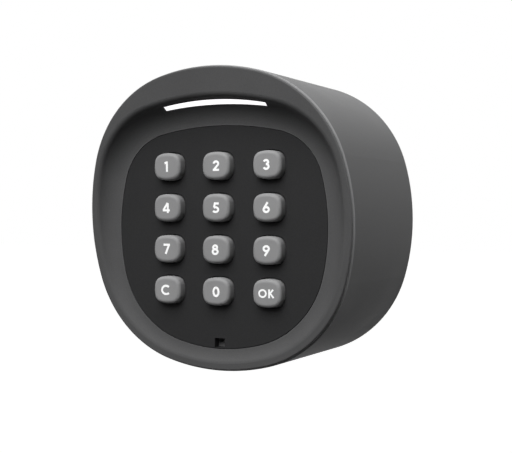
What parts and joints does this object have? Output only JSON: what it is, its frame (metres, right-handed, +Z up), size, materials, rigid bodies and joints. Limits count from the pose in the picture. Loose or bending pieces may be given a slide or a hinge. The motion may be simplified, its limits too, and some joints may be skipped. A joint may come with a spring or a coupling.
{
  "type": "rfid card reader with keypad",
  "caption": "Wall-mounted card reader: deep rounded drum, hooded bezel with a concave dish and light bar, and a keypad module that pulls out of the front.",
  "frame": {"origin": "centre of the flat back that lies on the wall", "axes": "+Z up, +X to the user's right, front faces -Y, so +Y points into the wall"},
  "size_m": [0.08, 0.0518, 0.082],
  "materials": {
    "housing": "satin",
    "face": "matt",
    "key": "satin",
    "gasket": "matt",
    "silicone": "matt",
    "steel": "satin",
    "light_diffuser": "translucent",
    "board": "satin",
    "lamp": "gloss",
    "contact_metal": "polished",
    "copper": "satin",
    "shield_metal": "satin",
    "chip": "matt",
    "module_plastic": "matt",
    "adhesive": "matt",
    "cell": "gloss"
  },
  "bodies": {
    "housing": {"housing": "housing", "front_bezel": "housing", "bezel_gasket": "gasket", "wall_gasket": "gasket", "bezel_screws": "steel", "light_bar": "light_diffuser", "led_board": "board", "lamps": "lamp", "led_screws": "steel"},
    "keypad_module": {"face_panel": "face", "keymat": "silicone", "snap_domes": "contact_metal", "circuit_board": "board", "antenna_coil": "copper", "radio_module": "shield_metal", "processor": "chip", "battery_socket": "chip", "buzzer": "chip", "board_screws": "steel", "module_frame": "module_plastic", "module_seal": "gasket", "panel_adhesive": "adhesive", "battery_tray": "module_plastic", "tray_screws": "steel", "battery_left": "cell", "battery_right": "cell", "battery_contacts": "contact_metal", "battery_springs": "contact_metal"},
    "key_1": {"key_1": "key"},
    "key_2": {"key_2": "key"},
    "key_3": {"key_3": "key"},
    "key_4": {"key_4": "key"},
    "key_5": {"key_5": "key"},
    "key_6": {"key_6": "key"},
    "key_7": {"key_7": "key"},
    "key_8": {"key_8": "key"},
    "key_9": {"key_9": "key"},
    "key_c": {"key_c": "key"},
    "key_0": {"key_0": "key"},
    "key_ok": {"key_ok": "key"}
  },
  "joints": [
    {"name": "module_pull", "type": "slide", "parent": "housing", "child": "keypad_module", "axis": [0, -1, 0], "range_m": [0, 0.045]},
    {"name": "key_1_press", "type": "slide", "parent": "keypad_module", "child": "key_1", "axis": [0, 1, 0], "range_m": [0, 0.001], "stiffness_N_per_m": 1200, "deforming": ["keymat"]},
    {"name": "key_2_press", "type": "slide", "parent": "keypad_module", "child": "key_2", "axis": [0, 1, 0], "range_m": [0, 0.001], "stiffness_N_per_m": 1200, "deforming": ["keymat"]},
    {"name": "key_3_press", "type": "slide", "parent": "keypad_module", "child": "key_3", "axis": [0, 1, 0], "range_m": [0, 0.001], "stiffness_N_per_m": 1200, "deforming": ["keymat"]},
    {"name": "key_4_press", "type": "slide", "parent": "keypad_module", "child": "key_4", "axis": [0, 1, 0], "range_m": [0, 0.001], "stiffness_N_per_m": 1200, "deforming": ["keymat"]},
    {"name": "key_5_press", "type": "slide", "parent": "keypad_module", "child": "key_5", "axis": [0, 1, 0], "range_m": [0, 0.001], "stiffness_N_per_m": 1200, "deforming": ["keymat"]},
    {"name": "key_6_press", "type": "slide", "parent": "keypad_module", "child": "key_6", "axis": [0, 1, 0], "range_m": [0, 0.001], "stiffness_N_per_m": 1200, "deforming": ["keymat"]},
    {"name": "key_7_press", "type": "slide", "parent": "keypad_module", "child": "key_7", "axis": [0, 1, 0], "range_m": [0, 0.001], "stiffness_N_per_m": 1200, "deforming": ["keymat"]},
    {"name": "key_8_press", "type": "slide", "parent": "keypad_module", "child": "key_8", "axis": [0, 1, 0], "range_m": [0, 0.001], "stiffness_N_per_m": 1200, "deforming": ["keymat"]},
    {"name": "key_9_press", "type": "slide", "parent": "keypad_module", "child": "key_9", "axis": [0, 1, 0], "range_m": [0, 0.001], "stiffness_N_per_m": 1200, "deforming": ["keymat"]},
    {"name": "key_c_press", "type": "slide", "parent": "keypad_module", "child": "key_c", "axis": [0, 1, 0], "range_m": [0, 0.001], "stiffness_N_per_m": 1200, "deforming": ["keymat"]},
    {"name": "key_0_press", "type": "slide", "parent": "keypad_module", "child": "key_0", "axis": [0, 1, 0], "range_m": [0, 0.001], "stiffness_N_per_m": 1200, "deforming": ["keymat"]},
    {"name": "key_ok_press", "type": "slide", "parent": "keypad_module", "child": "key_ok", "axis": [0, 1, 0], "range_m": [0, 0.001], "stiffness_N_per_m": 1200, "deforming": ["keymat"]}
  ]
}
